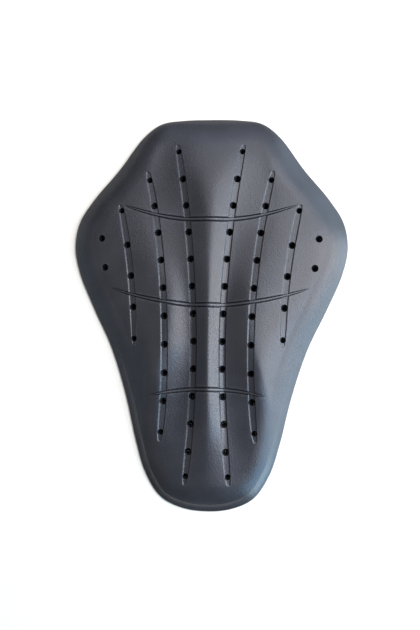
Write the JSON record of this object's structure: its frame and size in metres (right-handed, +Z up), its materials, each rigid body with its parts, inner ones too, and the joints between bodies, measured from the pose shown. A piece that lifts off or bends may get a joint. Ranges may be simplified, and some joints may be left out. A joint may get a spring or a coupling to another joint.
{
  "type": "back protector insert",
  "caption": "Arched moulded foam back pad, broad at the shoulders and narrow at the waist, with vent grooves, holes and cross beads; slips into a jacket's back pocket.",
  "frame": {"origin": "on the floor, under the middle of the pad's length and width", "axes": "+Y along the spine to the neck end, +X to the right seen from outside, +Z up out of the outer face"},
  "size_m": [0.28, 0.4, 0.0303],
  "materials": {
    "foam": "satin moulded foam rubber with a fine grain"
  },
  "bodies": {
    "root": {"protector_pad": "foam"}
  },
  "joints": []
}
